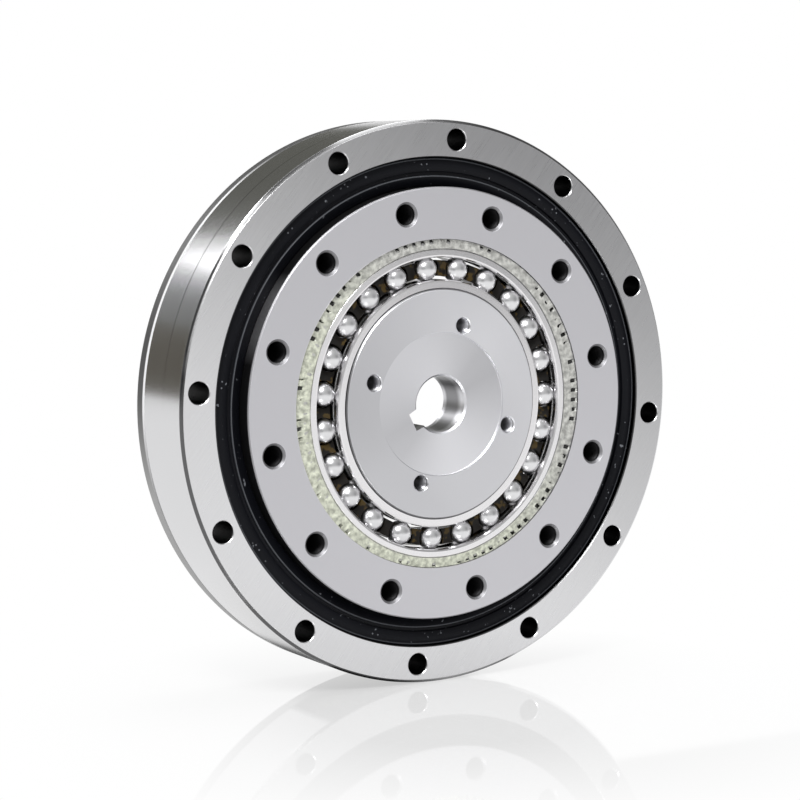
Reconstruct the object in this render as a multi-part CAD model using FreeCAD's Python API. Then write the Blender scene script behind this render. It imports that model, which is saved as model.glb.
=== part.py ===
import FreeCAD, Part
import math
import os
from FreeCAD import Placement, Rotation, Vector

# Strain wave gear of the short hat type, with its own crossed roller output bearing.
# Every piece is first made about the local Z axis: the mounting face at the back lies
# at height 0 and the output face looks along +Z. The last step lays that axis along
# -Y, so the unit stands on edge with +Z up. Millimetres and degrees.

# Heights of the unit
brim_thickness = 2.7
outer_ring_width = 13.5
output_step = 1.5
running_clearance = 0.02
cut_overrun = 1.0

# Teeth
tooth_module = 0.5
flexspline_teeth = 100
circular_spline_teeth = 102
flank_angle = 25.0
tooth_backlash = 0.05
tooth_addendum = 0.4
flexspline_dedendum = 0.5
circular_spline_dedendum = 0.7
tooth_length = 5.45
wave_axis_angle = 87.0

# Circular spline, which is the output ring
output_ring_width = 8.25
output_neck_depth = 5.6
output_edge_chamfer = 0.2
relief_step = 0.7
inner_ring_end_gap = 0.7
output_hole_from_edge = 3.7
output_thread_bore = 3.3
output_hole_depth = 8.0
output_hole_count = 12
output_hole_start = 102.19

# Seal between the outer ring and the output
seal_width = 4.6
seal_lip_clearance = 0.05
seal_pocket_depth = 3.8
seal_face_depth = 0.8
seal_groove_from_edge = 2.3
seal_groove_width = 0.6
seal_groove_depth = 0.4
seal_lip_land = 0.3
seal_dust_lip_drop = 0.5
seal_main_lip_lift = 0.4
seal_waist_reach = 1.6
seal_waist_depth = 1.1
seal_waist_width = 0.5

# Crossed roller bearing
roller_circle_from_pocket = 2.3
roller_plane_from_front = 7.4
roller_diameter = 3.5
roller_length = 3.3
roller_count = 48
roller_sides = 12
roller_lean = 45.0
ring_gap = 1.0
spacer_width = 2.6
spacer_play = 0.12

# Outer ring, and the stationary bolt circle that it shares with the flexspline's brim
housing_rim_width = 5.9
outer_edge_chamfer = 0.5
mount_hole_from_edge = 3.0
mount_hole_diameter = 3.5
mount_hole_count = 12
mount_hole_start = 85.04

# Filling plug of the roller bearing, with its cross pin
plug_angle = 250.04
plug_diameter = 4.4
plug_pin_diameter = 1.5
plug_pin_from_edge = 2.7
plug_pin_overrun = 0.8
plug_draw_hole_diameter = 1.6
plug_draw_hole_depth = 1.6

# Flexspline
wall_under_teeth = 0.33
barrel_wall = 0.28
diaphragm_thickness = 0.4
diaphragm_recess = 1.1
brim_boss_width = 7.8
barrel_corner_radius = 0.8

# Wave generator bearing
ball_count = 23
ball_diameter = 3.969
ball_depth = 2.05
ball_start_angle = 95.2
ball_sides = 10
ball_latitudes = (-66, -40, -14, 14, 40, 66)
ball_play = 0.015
race_width = 5.1
race_face_depth = 0.35
race_shoulder = 0.25
race_land_chamfer = 0.4
groove_half_width = 0.98
groove_floor_half_width = 0.45
outer_race_wall = 1.1
inner_race_wall = 1.2

# Ball cage
pocket_clearance = 0.165
cage_half_width = 1.25
cage_base_thickness = 0.75
cage_front_above_balls = 0.7
cage_end_gap = 0.15

# Cam hub
hub_length = 7.0
hub_recess_depth = 0.3
hub_shoulder_height = 0.95
hub_hole_from_edge = 4.85
hub_hole_from_recess = 1.5
hub_thread_bore = 2.5
hub_hole_count = 4
hub_hole_start = 72.4
shaft_bore_diameter = 9.0
bore_chamfer = 0.3
keyway_width = 3.0
keyway_depth = 1.4
keyway_angle = 207.4

# Screws that hold the brim to the outer ring before the unit is mounted
flange_screw_count = 2
flange_screw_diameter = 2.5
flange_screw_head_diameter = 4.7
flange_screw_length = 7.0
flange_screw_start = 100.04
flange_screw_key = 1.5
flange_screw_key_depth = 0.9
flange_screw_key_sides = 6

# Radii that follow, from the teeth outwards
wave_height = tooth_module * (circular_spline_teeth - flexspline_teeth) / 2
flexspline_pitch_radius = tooth_module * flexspline_teeth / 2
circular_spline_pitch_radius = tooth_module * circular_spline_teeth / 2
gap_floor_radius = circular_spline_pitch_radius + circular_spline_dedendum
relief_bore_radius = gap_floor_radius + relief_step
output_neck_radius = gap_floor_radius + output_ring_width
output_circle_radius = output_neck_radius - output_hole_from_edge
seal_lip_radius = output_neck_radius + seal_lip_clearance
seal_pocket_radius = seal_lip_radius + seal_width
roller_circle_radius = seal_pocket_radius - roller_circle_from_pocket
outer_ring_land_radius = roller_circle_radius + ring_gap / 2
inner_ring_land_radius = roller_circle_radius - ring_gap / 2
groove_reach = (roller_diameter / 2 + running_clearance) / math.cos(math.radians(roller_lean))
groove_opening = groove_reach - ring_gap / 2
housing_radius = seal_pocket_radius + housing_rim_width
mount_circle_radius = housing_radius - mount_hole_from_edge
plug_pin_radius = housing_radius - plug_pin_from_edge
brim_boss_inner_radius = housing_radius - brim_boss_width

# Radii that follow, from the teeth inwards
flexspline_bore_radius = flexspline_pitch_radius - flexspline_dedendum - wall_under_teeth
outer_race_radius = flexspline_bore_radius - running_clearance
outer_groove_radius = outer_race_radius - outer_race_wall
outer_shoulder_radius = outer_groove_radius - race_shoulder
ball_radius = ball_diameter / 2
ball_circle_radius = outer_groove_radius - ball_play - ball_radius
inner_groove_radius = ball_circle_radius - ball_radius - ball_play
inner_shoulder_radius = inner_groove_radius + race_shoulder
hub_radius = inner_groove_radius - inner_race_wall
hub_circle_radius = hub_radius - hub_hole_from_edge
hub_recess_radius = hub_circle_radius - hub_hole_from_recess

# Heights that follow
ring_front = brim_thickness + outer_ring_width
output_front = ring_front + output_step
roller_plane_height = ring_front - roller_plane_from_front
inner_ring_back = brim_thickness + inner_ring_end_gap
race_front = output_front - race_face_depth
race_back = race_front - race_width
ball_height = race_front - ball_depth
hub_back = output_front - hub_length
teeth_back = race_front - tooth_length


def polar(radius, angle, height=0.0):
    """Point at an angle in degrees, counted from +X towards +Y."""
    turn = math.radians(angle)
    return Vector(radius * math.cos(turn), radius * math.sin(turn), height)


def turned(profile):
    """Solid turned from a closed outline of (radius, height) points."""
    corners = [Vector(radius, 0, height) for radius, height in profile]
    face = Part.Face(Part.makePolygon(corners + corners[:1]))
    return face.revolve(Vector(), Vector(0, 0, 1), 360)


def rod(radius, low, high, centre=Vector()):
    """Round bar along Z between two heights."""
    return Part.makeCylinder(radius, high - low, Vector(centre.x, centre.y, low))


def holes_on_circle(radius, circle_radius, count, start, low, high):
    """Round bars spaced evenly on a circle, to be cut away."""
    centres = [polar(circle_radius, start + i * 360 / count) for i in range(count)]
    return [rod(radius, low, high, centre) for centre in centres]


def regular_face(radius, sides, height=0.0, centre=Vector()):
    """Flat face with equal sides and its corners on a circle."""
    corners = [polar(radius, (i + 0.5) * 360 / sides, height) + centre for i in range(sides)]
    return Part.Face(Part.makePolygon(corners + corners[:1]))


def wave_ring(mean_radius, height):
    """Closed oval that the cam gives to a ring of this mean radius."""
    oval = Part.Ellipse(Vector(), mean_radius + wave_height, mean_radius - wave_height)
    wire = Part.Wire(oval.toShape())
    wire.rotate(Vector(), Vector(0, 0, 1), wave_axis_angle)
    wire.translate(Vector(0, 0, height))
    return wire


def round_ring(radius, height):
    """Circle that starts where the ovals start, so that the two can be joined by a loft."""
    wire = Part.Wire(Part.makeCircle(radius, Vector(0, 0, height)))
    wire.rotate(Vector(), Vector(0, 0, 1), wave_axis_angle)
    return wire


def wave_form(profile):
    """Solid whose sections are ovals of the given (mean radius, height) pairs."""
    return Part.makeLoft([wave_ring(radius, height) for radius, height in profile], True, True)


def on_wave(mean_radius, angle):
    """Placement that a point of a round ring takes once the cam has made the ring oval.

    It moves out or in by the wave, slides along the ring so that its length is kept,
    and leans with the ring's surface.
    """
    phase = 2 * math.radians(angle - wave_axis_angle)
    radius = mean_radius + wave_height * math.cos(phase)
    slide = -wave_height / (2 * mean_radius) * math.sin(phase)
    lean = 2 * wave_height / mean_radius * math.sin(phase)
    where = angle + math.degrees(slide)
    return Placement(polar(radius, where), Rotation(Vector(0, 0, 1), where + math.degrees(lean)))


def tooth_half_width(height):
    """Half width of a straight-flanked tooth at a height over its pitch line, towards its tip."""
    at_pitch = math.pi * tooth_module / 4 - tooth_backlash / 2
    return at_pitch - height * math.tan(math.radians(flank_angle))


def closed_outline(places, corners):
    """Closed outline that repeats the same few (outward, across) corners at every place."""
    points = [place.multVec(Vector(x, y, 0)) for place in places for x, y in corners]
    return Part.makePolygon(points + points[:1])


def flexspline_outline():
    """Toothed outline of the flexspline, pressed oval, with a tooth on the wave's axis."""
    foot = tooth_half_width(-flexspline_dedendum)
    tip = tooth_half_width(tooth_addendum)
    corners = (
        (-flexspline_dedendum, -foot),
        (tooth_addendum, -tip),
        (tooth_addendum, tip),
        (-flexspline_dedendum, foot),
    )
    step = 360 / flexspline_teeth
    places = [
        on_wave(flexspline_pitch_radius, wave_axis_angle + i * step)
        for i in range(flexspline_teeth)
    ]
    return closed_outline(places, corners)


def circular_spline_outline():
    """Outline of the room inside the round ring's teeth, with a gap on the wave's axis."""
    foot = tooth_half_width(-circular_spline_dedendum)
    tip = tooth_half_width(tooth_addendum)
    tip_radius = circular_spline_pitch_radius - tooth_addendum
    corners = (
        (gap_floor_radius, -foot),
        (tip_radius, -tip),
        (tip_radius, tip),
        (gap_floor_radius, foot),
    )
    step = 360 / circular_spline_teeth
    places = [
        Placement(Vector(), Rotation(Vector(0, 0, 1), wave_axis_angle + (i + 0.5) * step))
        for i in range(circular_spline_teeth)
    ]
    return closed_outline(places, corners)


def plug_bar(clearance=0.0):
    """Radial round bar through the outer ring's wall at the roller groove."""
    start = polar(inner_ring_land_radius, plug_angle, roller_plane_height)
    reach = housing_radius - inner_ring_land_radius + cut_overrun
    return Part.makeCylinder(plug_diameter / 2 + clearance, reach, start, polar(1, plug_angle))


def plug_pin_bar(clearance=0.0):
    """Round bar along Z from the ring's back face through the plug."""
    top = roller_plane_height + plug_diameter / 2 + plug_pin_overrun
    centre = polar(plug_pin_radius, plug_angle)
    return rod(plug_pin_diameter / 2 + clearance, brim_thickness, top + clearance, centre)


def outer_ring_body():
    """Outer ring before it is drilled, with its half of the roller groove and the seal pocket."""
    land = outer_ring_land_radius
    pocket_floor = ring_front - seal_pocket_depth
    chamfer = outer_edge_chamfer
    return turned(
        [
            (land, brim_thickness),
            (housing_radius - chamfer, brim_thickness),
            (housing_radius, brim_thickness + chamfer),
            (housing_radius, ring_front - chamfer),
            (housing_radius - chamfer, ring_front),
            (seal_pocket_radius, ring_front),
            (seal_pocket_radius, pocket_floor),
            (land, pocket_floor),
            (land, roller_plane_height + groove_opening),
            (roller_circle_radius + groove_reach, roller_plane_height),
            (land, roller_plane_height - groove_opening),
        ]
    )


def mounting_holes(low, high):
    return holes_on_circle(
        mount_hole_diameter / 2, mount_circle_radius, mount_hole_count, mount_hole_start, low, high
    )


def screw_centres():
    step = 360 / flange_screw_count
    angles = [flange_screw_start + i * step for i in range(flange_screw_count)]
    return [polar(mount_circle_radius, angle) for angle in angles]


def countersunk_bar(centre, clearance=0.0):
    """Countersunk head at the back face with its shank, for the screw and for its seat."""
    head = flange_screw_head_diameter / 2 + clearance
    shank = flange_screw_diameter / 2 + clearance
    cone = Part.makeCone(head, shank, head - shank, centre)
    return cone.fuse(rod(shank, 0, flange_screw_length + clearance, centre))


def make_outer_ring():
    ring = outer_ring_body().cut(plug_bar(running_clearance))
    ring = ring.cut(plug_pin_bar(running_clearance))
    seats = [countersunk_bar(centre, running_clearance) for centre in screw_centres()]
    return ring.cut(mounting_holes(brim_thickness, ring_front) + seats)


def make_roller_plug():
    plug = plug_bar().common(outer_ring_body())
    outside = polar(housing_radius - plug_draw_hole_depth, plug_angle, roller_plane_height)
    draw_hole = Part.makeCylinder(
        plug_draw_hole_diameter / 2, plug_draw_hole_depth + cut_overrun, outside, polar(1, plug_angle)
    )
    return plug.cut([plug_pin_bar(running_clearance), draw_hole])


def make_plug_pin():
    return plug_pin_bar()


def make_flange_screws():
    corner_radius = flange_screw_key / 2 / math.cos(math.pi / flange_screw_key_sides)
    screws = []
    for centre in screw_centres():
        socket = regular_face(corner_radius, flange_screw_key_sides, 0, centre)
        socket = socket.extrude(Vector(0, 0, flange_screw_key_depth))
        screws.append(countersunk_bar(centre).cut(socket))
    return Part.makeCompound(screws)


def make_front_seal():
    """Rubber ring with a flat front face, a fine groove and two lips on the output's neck."""
    lip = seal_lip_radius
    groove = seal_pocket_radius - seal_groove_from_edge
    waist = lip + seal_waist_reach
    floor = ring_front - seal_pocket_depth
    face = ring_front - seal_face_depth
    return turned(
        [
            (seal_pocket_radius, floor),
            (seal_pocket_radius, face),
            (groove, face),
            (groove, face - seal_groove_depth),
            (groove - seal_groove_width, face - seal_groove_depth),
            (groove - seal_groove_width, face),
            (lip, face - seal_dust_lip_drop),
            (lip, face - seal_dust_lip_drop - seal_lip_land),
            (waist, face - seal_waist_depth),
            (waist, face - seal_waist_depth - seal_waist_width),
            (lip, floor + seal_main_lip_lift + seal_lip_land),
            (lip, floor + seal_main_lip_lift),
            (waist, floor),
        ]
    )


def make_flexspline():
    """Brim, thin diaphragm, short barrel that turns from round to oval, and toothed rim."""
    bore = flexspline_bore_radius
    barrel = bore + barrel_wall
    corner = barrel_corner_radius
    bend = corner * (1 - math.sqrt(0.5))
    boss = brim_boss_inner_radius
    face = diaphragm_recess
    back = face + diaphragm_thickness
    barrel_start = back + corner
    brim = turned(
        [
            (0, face),
            (boss - face, face),
            (boss, 0),
            (housing_radius - outer_edge_chamfer, 0),
            (housing_radius, outer_edge_chamfer),
            (housing_radius, brim_thickness),
            (boss + corner, brim_thickness),
            (boss - corner, back),
            (barrel + corner, back),
            (barrel + bend, back + bend),
            (barrel + running_clearance, barrel_start),
            (0, barrel_start),
        ]
    )
    tube = Part.makeLoft(
        [round_ring(barrel, barrel_start), wave_ring(barrel, teeth_back)], True, True
    )
    rim = Part.Face(flexspline_outline()).extrude(Vector(0, 0, tooth_length))
    rim.translate(Vector(0, 0, teeth_back))
    inside = Part.makeLoft(
        [
            round_ring(barrel + corner, 0),
            round_ring(barrel + corner, face),
            round_ring(bore + bend, face + bend),
            round_ring(bore, barrel_start),
            wave_ring(bore, teeth_back),
            wave_ring(bore, race_front + cut_overrun),
        ],
        True,
        True,
    )
    seats = [countersunk_bar(centre, running_clearance) for centre in screw_centres()]
    hat = brim.fuse([tube, rim])
    return hat.cut(mounting_holes(0, brim_thickness) + seats + [inside]).removeSplitter()


def make_circular_spline():
    """Output ring: teeth, neck for the seal, the other half of the roller groove, tapped holes."""
    land = inner_ring_land_radius
    neck_floor = output_front - output_neck_depth
    tip_radius = circular_spline_pitch_radius - tooth_addendum
    ring = turned(
        [
            (relief_bore_radius, inner_ring_back),
            (land, inner_ring_back),
            (land, roller_plane_height - groove_opening),
            (roller_circle_radius - groove_reach, roller_plane_height),
            (land, roller_plane_height + groove_opening),
            (land, neck_floor),
            (output_neck_radius, neck_floor),
            (output_neck_radius, output_front - output_edge_chamfer),
            (output_neck_radius - output_edge_chamfer, output_front),
            (tip_radius - cut_overrun, output_front),
            (tip_radius - cut_overrun, teeth_back),
            (relief_bore_radius, teeth_back),
        ]
    )
    depth = output_front - teeth_back + 2 * cut_overrun
    gaps = Part.Face(circular_spline_outline()).extrude(Vector(0, 0, depth))
    gaps.translate(Vector(0, 0, teeth_back - cut_overrun))
    holes = holes_on_circle(
        output_thread_bore / 2,
        output_circle_radius,
        output_hole_count,
        output_hole_start,
        output_front - output_hole_depth,
        output_front,
    )
    return ring.cut([gaps] + holes)


def slanted(shape, angle, lean):
    """Shape made about Z at the origin, set on the roller circle and leaned in its radial plane."""
    placed = shape.copy()
    placed.rotate(Vector(), Vector(0, 1, 0), lean)
    placed.translate(Vector(roller_circle_radius, 0, roller_plane_height))
    placed.rotate(Vector(), Vector(0, 0, 1), angle)
    return placed


def make_roller():
    """Short many-sided roller about Z, its corners on the rolling diameter."""
    end = regular_face(roller_diameter / 2, roller_sides, -roller_length / 2)
    return end.extrude(Vector(0, 0, roller_length))


def make_rollers(first, lean):
    """Every second roller round the ring; its neighbours lean the other way."""
    roller = make_roller()
    step = 360 / roller_count
    return Part.makeCompound(
        [slanted(roller, (first + i) * step, lean) for i in range(0, roller_count, 2)]
    )


def make_roller_spacers():
    """Flat resin tiles that keep neighbouring rollers apart."""
    pitch = 2 * math.pi * roller_circle_radius / roller_count
    thickness = pitch - roller_diameter - spacer_play
    half = spacer_width / 2
    tile = Part.makeBox(spacer_width, thickness, spacer_width, Vector(-half, -thickness / 2, -half))
    step = 360 / roller_count
    return Part.makeCompound([slanted(tile, (i + 0.5) * step, roller_lean) for i in range(roller_count)])


def groove_levels(groove_radius, shoulder_radius):
    """Ball groove as (mean radius, height) pairs from its back edge to its front edge."""
    return [
        (shoulder_radius, ball_height - groove_half_width),
        (groove_radius, ball_height - groove_floor_half_width),
        (groove_radius, ball_height + groove_floor_half_width),
        (shoulder_radius, ball_height + groove_half_width),
    ]


def make_bearing_outer_race():
    """Thin outer race, sprung oval by the cam inside it."""
    chamfer = race_land_chamfer
    land = outer_shoulder_radius
    outside = wave_form([(outer_race_radius, race_back), (outer_race_radius, race_front)])
    inside = wave_form(
        [(land, race_back)]
        + groove_levels(outer_groove_radius, land)
        + [(land, race_front - chamfer), (land + chamfer, race_front)]
    )
    return outside.cut(inside)


def make_bearing_inner_race():
    """Inner race, pressed onto the oval cam hub."""
    chamfer = race_land_chamfer
    land = inner_shoulder_radius
    outside = wave_form(
        [(land, race_back)]
        + groove_levels(inner_groove_radius, land)
        + [(land, race_front - chamfer), (land - chamfer, race_front)]
    )
    return outside.cut(wave_form([(hub_radius, race_back), (hub_radius, race_front)]))


def ball_angle(index):
    return ball_start_angle - index * 360 / ball_count


def make_ball_blank():
    """Ball with few faces: stacked rings of flats whose corners lie on the true diameter."""
    rings = []
    for latitude in ball_latitudes:
        lift = math.radians(latitude)
        height = ball_radius * math.sin(lift)
        reach = ball_radius * math.cos(lift)
        rings.append([polar(reach, i * 360 / ball_sides, height) for i in range(ball_sides)])
    outlines = [rings[0], rings[-1]]
    for lower, upper in zip(rings, rings[1:]):
        for i in range(ball_sides):
            outlines.append([lower[i - 1], lower[i], upper[i], upper[i - 1]])
    faces = [Part.Face(Part.makePolygon(outline + outline[:1])) for outline in outlines]
    return Part.Solid(Part.makeShell(faces))


def make_ball(blank, index):
    ball = blank.copy()
    ball.Placement = on_wave(ball_circle_radius, ball_angle(index))
    ball.translate(Vector(0, 0, ball_height))
    return ball


def make_ball_cage():
    """Crown cage: a base ring behind the balls with a waisted finger between each two."""
    base_back = race_back + cage_end_gap
    base_front = base_back + cage_base_thickness
    top = ball_height + cage_front_above_balls
    outer = ball_circle_radius + cage_half_width
    inner = ball_circle_radius - cage_half_width
    base = wave_form([(outer, base_back), (outer, base_front)])
    base = base.cut(wave_form([(inner, base_back), (inner, base_front)]))
    half_pitch = math.pi * ball_circle_radius / ball_count
    pocket = ball_radius + pocket_clearance
    steps = [cage_half_width * share for share in (-1, -0.5, 0, 0.5, 1)]
    waist = [(x, half_pitch - math.sqrt(pocket**2 - x**2)) for x in steps]
    corners = [Vector(x, y, 0) for x, y in waist] + [Vector(x, -y, 0) for x, y in reversed(waist)]
    finger = Part.Face(Part.makePolygon(corners + corners[:1])).extrude(Vector(0, 0, top - base_back))
    fingers = []
    for i in range(ball_count):
        one = finger.copy()
        one.Placement = on_wave(ball_circle_radius, ball_angle(i + 0.5))
        one.translate(Vector(0, 0, base_back))
        fingers.append(one)
    return base.fuse(fingers).removeSplitter()


def make_cam_hub():
    """Oval cam with a shoulder behind the inner race, keyed bore and four tapped holes."""
    shoulder = hub_radius + hub_shoulder_height
    hub = wave_form([(shoulder, hub_back), (shoulder, race_back)])
    hub = hub.fuse(wave_form([(hub_radius, race_back), (hub_radius, output_front)]))
    bore = shaft_bore_diameter / 2
    cuts = holes_on_circle(
        hub_thread_bore / 2,
        hub_circle_radius,
        hub_hole_count,
        hub_hole_start,
        hub_back,
        output_front,
    )
    floor = output_front - hub_recess_depth
    cuts.append(rod(hub_recess_radius, floor, output_front))
    cuts.append(rod(bore, hub_back, output_front))
    lead_in = Vector(0, 0, floor - bore_chamfer)
    cuts.append(Part.makeCone(bore, bore + bore_chamfer, bore_chamfer, lead_in))
    keyway = Part.makeBox(
        bore + keyway_depth, keyway_width, hub_length, Vector(0, -keyway_width / 2, hub_back)
    )
    keyway.rotate(Vector(), Vector(0, 0, 1), keyway_angle)
    return hub.cut(cuts + [keyway])


def export(name, shape):
    """Write one piece, with its axis laid from +Z to -Y."""
    placed = shape.copy()
    placed.rotate(Vector(), Vector(1, 0, 0), 90)
    placed.exportStep("parts/" + name + ".step")


def main():
    os.makedirs("parts", exist_ok=True)
    export("outer_ring", make_outer_ring())
    export("roller_plug", make_roller_plug())
    export("plug_pin", make_plug_pin())
    export("front_seal", make_front_seal())
    export("flexspline", make_flexspline())
    export("flange_screws", make_flange_screws())
    export("circular_spline", make_circular_spline())
    export("rollers_leaning_in", make_rollers(0, -roller_lean))
    export("rollers_leaning_out", make_rollers(1, roller_lean))
    export("roller_spacers", make_roller_spacers())
    export("cam_hub", make_cam_hub())
    export("bearing_inner_race", make_bearing_inner_race())
    export("bearing_outer_race", make_bearing_outer_race())
    export("ball_cage", make_ball_cage())
    blank = make_ball_blank()
    for i in range(ball_count):
        export(f"ball_{i + 1:02d}", make_ball(blank, i))


main()
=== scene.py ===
import math

import bmesh
import bpy
from mathutils import Matrix, Vector, noise


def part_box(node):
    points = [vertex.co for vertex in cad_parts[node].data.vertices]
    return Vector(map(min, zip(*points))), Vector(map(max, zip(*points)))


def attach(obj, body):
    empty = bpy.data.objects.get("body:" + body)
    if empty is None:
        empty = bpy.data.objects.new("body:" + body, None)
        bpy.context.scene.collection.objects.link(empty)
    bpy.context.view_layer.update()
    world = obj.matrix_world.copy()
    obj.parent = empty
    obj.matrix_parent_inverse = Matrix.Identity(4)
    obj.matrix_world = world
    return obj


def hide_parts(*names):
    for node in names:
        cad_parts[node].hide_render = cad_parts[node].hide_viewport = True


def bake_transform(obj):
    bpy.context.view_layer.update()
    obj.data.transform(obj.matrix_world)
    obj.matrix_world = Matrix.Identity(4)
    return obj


bl_info = {
    "name": "Strain Wave Gear",
    "version": (1, 0, 0),
    "blender": (4, 5, 0),
    "location": "View3D > Sidebar > Gear",
    "description": "Dresses the flat strain wave gear and sets it in a studio",
    "category": "Add Mesh",
}

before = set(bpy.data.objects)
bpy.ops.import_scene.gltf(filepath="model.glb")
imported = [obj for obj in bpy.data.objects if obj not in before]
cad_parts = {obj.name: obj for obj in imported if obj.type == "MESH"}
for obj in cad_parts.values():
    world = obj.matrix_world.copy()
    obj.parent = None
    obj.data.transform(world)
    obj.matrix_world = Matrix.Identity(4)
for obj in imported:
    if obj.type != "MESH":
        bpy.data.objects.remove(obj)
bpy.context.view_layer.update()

# Pieces are shaped about the local Z axis with the output face upwards, and then laid
# so that this axis points along -Y. Heights are counted from the mounting face.
LAY_DOWN = Matrix.Rotation(math.radians(90), 4, "X")
MM = 0.001
EDGE_BREAK = 0.15 * MM
RING_STEPS = 360
OVAL_STEPS = 288
HOLE_STEPS = 32


def back_of(node):
    return -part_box(node)[1][1]


def front_of(node):
    return -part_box(node)[0][1]


def length(name, description, millimetres):
    return bpy.props.FloatProperty(
        name=name, description=description, default=millimetres / 1000, unit="LENGTH", precision=5
    )


def number(name, description, count):
    return bpy.props.IntProperty(name=name, description=description, default=count, min=1)


def heading(name, description, degrees):
    return bpy.props.FloatProperty(
        name=name, description=description, default=math.radians(degrees), subtype="ANGLE"
    )


def colour(name, description, red, green, blue):
    return bpy.props.FloatVectorProperty(
        name=name, description=description, default=(red, green, blue), subtype="COLOR", min=0, max=1
    )


class WaveSizes(bpy.types.PropertyGroup):
    height: length("Wave height", "How far the cam pushes a ring out and in", 0.5)
    axis: heading("Wave axis", "Direction of the cam's long axis, from +X towards +Z", 87)
    module: length("Module", "Module of the teeth", 0.5)
    flank: heading("Flank", "Slope of the straight tooth flanks", 25)
    tooth_length: length("Tooth length", "Length of the teeth behind the races' front", 5.45)
    tooth_addendum: length("Tooth height", "Height of a tooth over its pitch line", 0.4)
    tooth_root: length("Flexspline root", "Depth of the flexspline's gaps", 0.5)
    ring_root: length("Ring root", "Depth of the output ring's gaps", 0.7)
    backlash: length("Backlash", "Play between two teeth", 0.05)


class HousingSizes(bpy.types.PropertyGroup):
    radius: length("Radius", "Outside radius of the ring and the brim", 45)
    edge: length("Edge", "Chamfer of the ring's outer edges", 0.5)
    holes: number("Holes", "Number of mounting holes", 12)
    hole_radius: length("Hole radius", "Radius of the mounting holes", 1.75)
    hole_circle: length("Hole circle", "Radius of the mounting holes' circle", 42)
    hole_start: heading("Hole start", "Direction of the first mounting hole", 85.04)
    hole_edge: length("Hole edge", "Edge break of the mounting holes", 0.12)
    pocket: length("Seal pocket", "Radius of the pocket that holds the seal", 39.1)
    pocket_depth: length("Pocket depth", "Depth of the seal pocket", 3.8)
    bearing_land: length("Bearing land", "Bore radius beside the roller groove", 37.3)
    groove_floor: length("Groove floor", "Radius at the roller groove's deepest line", 39.303)
    groove_height: length("Groove height", "Height of the roller groove's middle", 8.8)
    plug_radius: length("Plug hole", "Radius of the hole for the filling plug", 2.22)
    plug_angle: heading("Plug angle", "Direction of the filling plug", 250.04)
    screws: number("Screws", "Number of brim screws", 2)
    screw_start: heading("Screw start", "Direction of the first brim screw", 100.04)
    screw_radius: length("Screw hole", "Radius of the brim screws' holes", 1.27)
    screw_seat: length("Screw seat", "Radius of the brim screws' conical seats", 2.37)
    line_height: length("Line height", "Height of the line scribed on the rim, from its foot", 7.15)


class FlexsplineSizes(bpy.types.PropertyGroup):
    teeth: number("Teeth", "Number of teeth on the flexspline", 100)
    bore: length("Bore", "Mean bore radius of the toothed rim", 24.17)
    half_wall: length("Half wall", "From the bore to the middle of the rim's wall", 0.165)
    barrel: length("Barrel", "Mean outside radius of the barrel", 24.45)
    recess: length("Recess", "Depth of the diaphragm behind the mounting face", 1.1)
    diaphragm: length("Diaphragm", "Thickness of the diaphragm", 0.4)
    corner: length("Corner", "Radius where the barrel turns into the diaphragm", 0.8)
    boss: length("Boss", "Inner radius of the brim's thick part", 37.2)


class OutputSizes(bpy.types.PropertyGroup):
    teeth: number("Teeth", "Number of teeth in the output ring", 102)
    neck: length("Neck", "Radius of the neck that the seal runs on", 34.45)
    neck_depth: length("Neck depth", "Depth of the neck from the output face", 5.6)
    edge: length("Edge", "Chamfer of the output face's outer edge", 0.2)
    bearing_land: length("Bearing land", "Outside radius beside the roller groove", 36.3)
    groove_floor: length("Groove floor", "Radius at the roller groove's deepest line", 34.297)
    relief: length("Relief", "Bore radius behind the teeth", 26.9)
    mouth: length("Mouth", "Depth of the round mouth in front of the teeth", 0.3)
    runout: length("Run-out", "Depth at which the teeth start to run out", 0.7)
    holes: number("Holes", "Number of tapped holes", 12)
    hole_circle: length("Hole circle", "Radius of the tapped holes' circle", 30.75)
    hole_start: heading("Hole start", "Direction of the first tapped hole", 102.19)
    hole_radius: length("Hole radius", "Radius of the tapped holes at the thread's crest", 1.65)
    hole_lead: length("Hole lead", "Radius of the tapped holes' lead-in", 2.05)
    hole_depth: length("Hole depth", "Depth of the tapped holes", 7.5)
    thread_depth: length("Thread depth", "Depth of the thread's grooves", 0.28)
    thread_pitch: length("Thread pitch", "Pitch of the thread", 0.7)


class BearingSizes(bpy.types.PropertyGroup):
    ball_radius: length("Ball radius", "Radius of a bearing ball", 1.9845)
    ball_circle: length("Ball circle", "Mean radius of the circle through the balls", 21.0505)
    ball_height: length("Ball height", "Height of the balls' middle", 15.3)
    balls: number("Balls", "Number of bearing balls", 23)
    ball_start: heading("Ball start", "Direction of the first ball", 95.2)
    outer: length("Outer radius", "Mean outside radius of the outer race", 24.15)
    outer_shoulder: length("Outer shoulder", "Mean bore radius of the outer race", 22.8)
    inner_shoulder: length("Inner shoulder", "Mean outside radius of the inner race", 19.301)
    inner: length("Inner radius", "Mean bore radius of the inner race", 17.851)
    cage_half: length("Cage half", "Half the cage's radial width", 1.25)
    cage_base: length("Cage base", "Thickness of the cage's base ring", 0.75)
    cage_play: length("Cage play", "Gap between a ball and the cage", 0.165)


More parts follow.
